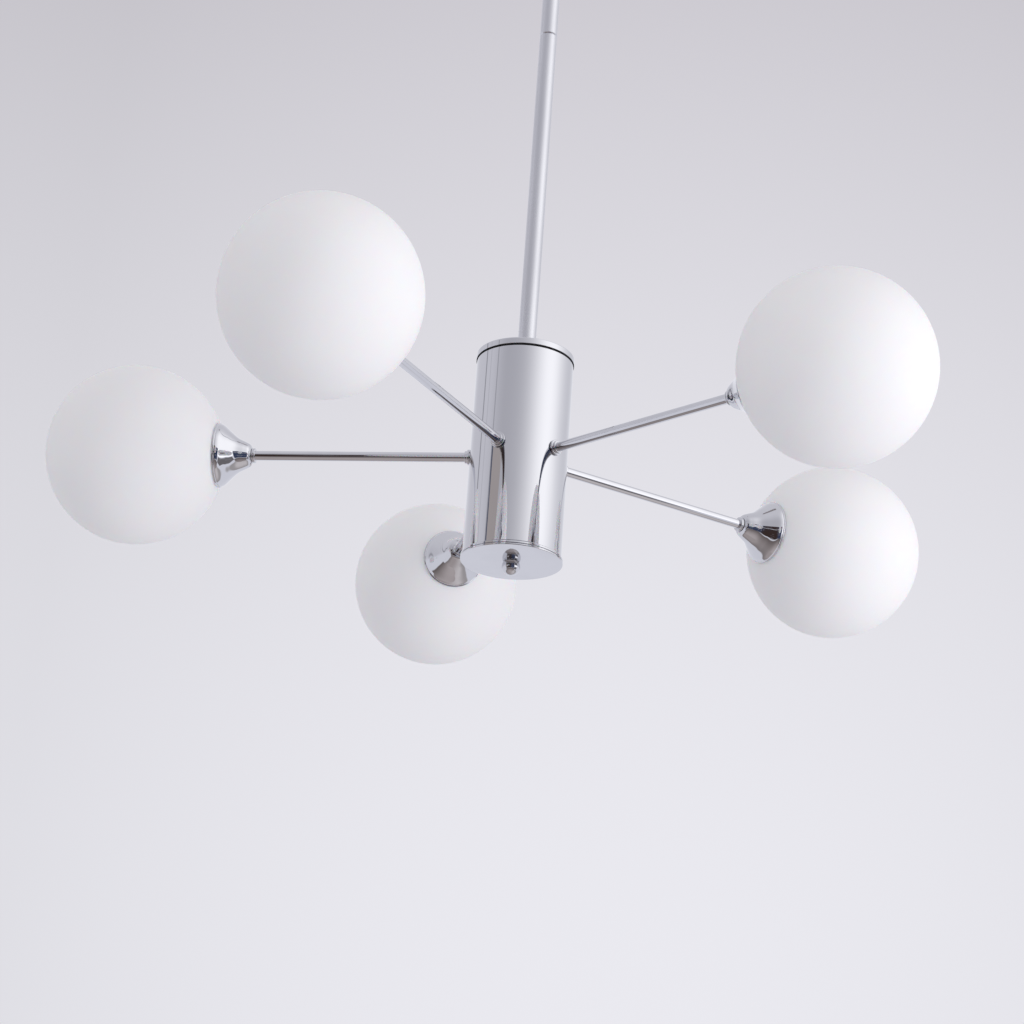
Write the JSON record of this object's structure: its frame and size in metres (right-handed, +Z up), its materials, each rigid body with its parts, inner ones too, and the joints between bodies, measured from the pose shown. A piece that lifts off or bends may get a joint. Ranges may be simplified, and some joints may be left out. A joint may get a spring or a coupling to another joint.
{
  "type": "branch chandelier",
  "caption": "Ceiling chandelier: a drum hub on a swivelling jointed stem, with slim straight arms that end in trumpet cups and opal glass globes.",
  "frame": {"origin": "middle of the ceiling bracket's top face, where the object meets the ceiling", "axes": "+Z up out of that face into the ceiling; the first arm points along +Y"},
  "size_m": [0.7606, 0.7349, 0.8864],
  "materials": {
    "chrome": "mirror-polished chrome plate",
    "satin_chrome": "fine-drawn chrome plate, slightly satin",
    "zinc_steel": "bright zinc-plated steel",
    "brass": "plain turned brass",
    "opal_glass": "opal white glass, acid-etched matte outside",
    "frosted_bulb": "frosted bulb, unlit",
    "ceramic": "unglazed white steatite",
    "black_rubber": "black rubber",
    "silicone": "milky silicone",
    "white_plastic": "white moulded plastic",
    "wire_sleeve": "heat-resistant woven sleeve on wire"
  },
  "bodies": {
    "ceiling": {"ceiling_bracket": "zinc_steel", "canopy_screw_1": "zinc_steel", "canopy_screw_2": "zinc_steel", "canopy_ball_nut_1": "chrome", "canopy_ball_nut_2": "chrome", "terminal_block": "white_plastic", "canopy": "chrome", "swivel_nipple": "zinc_steel", "swivel_nut": "zinc_steel"},
    "swivel_head": {"swivel_fork": "chrome", "swivel_screw": "chrome"},
    "stem": {"swivel_tongue": "chrome", "rod_upper": "satin_chrome", "rod_coupler": "zinc_steel", "rod_lower": "satin_chrome", "rod_nipple": "zinc_steel", "top_cap": "chrome", "top_gasket": "black_rubber", "body_tube": "chrome", "cap_nut": "zinc_steel", "hickey": "zinc_steel", "centre_stud": "zinc_steel", "wiring_harness": "wire_sleeve", "arm_tube_1": "chrome", "arm_nut_1": "brass", "cup_1": "chrome", "lampholder_1": "ceramic", "bulb_1": "frosted_bulb", "arm_tube_2": "chrome", "arm_nut_2": "brass", "cup_2": "chrome", "lampholder_2": "ceramic", "bulb_2": "frosted_bulb", "arm_tube_3": "chrome", "arm_nut_3": "brass", "cup_3": "chrome", "lampholder_3": "ceramic", "bulb_3": "frosted_bulb", "arm_tube_4": "chrome", "arm_nut_4": "brass", "cup_4": "chrome", "lampholder_4": "ceramic", "bulb_4": "frosted_bulb", "arm_tube_5": "chrome", "arm_nut_5": "brass", "cup_5": "chrome", "lampholder_5": "ceramic", "bulb_5": "frosted_bulb"},
    "bottom_cap": {"bottom_cap": "chrome"},
    "ball_nut": {"ball_nut": "chrome"},
    "neck_ring_1": {"neck_ring_1": "silicone"},
    "globe_1": {"globe_1": "opal_glass"},
    "neck_ring_2": {"neck_ring_2": "silicone"},
    "globe_2": {"globe_2": "opal_glass"},
    "neck_ring_3": {"neck_ring_3": "silicone"},
    "globe_3": {"globe_3": "opal_glass"},
    "neck_ring_4": {"neck_ring_4": "silicone"},
    "globe_4": {"globe_4": "opal_glass"},
    "neck_ring_5": {"neck_ring_5": "silicone"},
    "globe_5": {"globe_5": "opal_glass"}
  },
  "joints": [
    {"name": "swivel_turn", "type": "hinge", "parent": "ceiling", "child": "swivel_head", "pos_m": [0, 0, -0.037], "axis": [0, 0, 1], "range_deg": [-170, 170]},
    {"name": "swivel_tilt", "type": "hinge", "parent": "swivel_head", "child": "stem", "pos_m": [0, 0, -0.057], "axis": [0, 1, 0], "range_deg": [-45, 45]},
    {"name": "bottom_cap_slide", "type": "slide", "parent": "stem", "child": "bottom_cap", "axis": [0, 0, -1], "range_m": [0, 0.006]},
    {"name": "ball_nut_turn", "type": "hinge", "parent": "bottom_cap", "child": "ball_nut", "pos_m": [0, 0, -0.8789], "axis": [0, 0, -1], "range_deg": [0, 2160]},
    {"name": "globe_1_slide", "type": "slide", "parent": "stem", "child": "neck_ring_1", "axis": [-0.0419, 0.9991, -0.0092], "range_m": [0, 0.00675]},
    {"name": "globe_1_turn", "type": "hinge", "parent": "neck_ring_1", "child": "globe_1", "pos_m": [-0.01182, 0.32229, -0.7866], "axis": [-0.0419, 0.9991, -0.0092], "range_deg": [0, 810]},
    {"name": "globe_2_slide", "type": "slide", "parent": "stem", "child": "neck_ring_2", "axis": [-0.9494, 0.314, -0.0092], "range_m": [0, 0.00675]},
    {"name": "globe_2_turn", "type": "hinge", "parent": "neck_ring_2", "child": "globe_2", "pos_m": [-0.30629, 0.10107, -0.7866], "axis": [-0.9494, 0.314, -0.0092], "range_deg": [0, 810]},
    {"name": "globe_3_slide", "type": "slide", "parent": "stem", "child": "neck_ring_3", "axis": [-0.6184, -0.7858, -0.0092], "range_m": [0, 0.00675]},
    {"name": "globe_3_turn", "type": "hinge", "parent": "neck_ring_3", "child": "globe_3", "pos_m": [-0.19823, -0.2544, -0.7866], "axis": [-0.6184, -0.7858, -0.0092], "range_deg": [0, 810]},
    {"name": "globe_4_slide", "type": "slide", "parent": "stem", "child": "neck_ring_4", "axis": [0.5764, -0.8171, -0.0092], "range_m": [0, 0.00675]},
    {"name": "globe_4_turn", "type": "hinge", "parent": "neck_ring_4", "child": "globe_4", "pos_m": [0.18638, -0.26323, -0.7866], "axis": [0.5764, -0.8171, -0.0092], "range_deg": [0, 810]},
    {"name": "globe_5_slide", "type": "slide", "parent": "stem", "child": "neck_ring_5", "axis": [0.9426, 0.3338, -0.0092], "range_m": [0, 0.00675]},
    {"name": "globe_5_turn", "type": "hinge", "parent": "neck_ring_5", "child": "globe_5", "pos_m": [0.30438, 0.10667, -0.7866], "axis": [0.9426, 0.3338, -0.0092], "range_deg": [0, 810]}
  ],
  "couplings": [
    {"joint": "ball_nut_turn", "follows": "bottom_cap_slide", "rad_per_m": 6283.2},
    {"joint": "globe_1_slide", "follows": "globe_1_turn", "m_per_rad": 0.00047746},
    {"joint": "globe_2_slide", "follows": "globe_2_turn", "m_per_rad": 0.00047746},
    {"joint": "globe_3_slide", "follows": "globe_3_turn", "m_per_rad": 0.00047746},
    {"joint": "globe_4_slide", "follows": "globe_4_turn", "m_per_rad": 0.00047746},
    {"joint": "globe_5_slide", "follows": "globe_5_turn", "m_per_rad": 0.00047746}
  ]
}
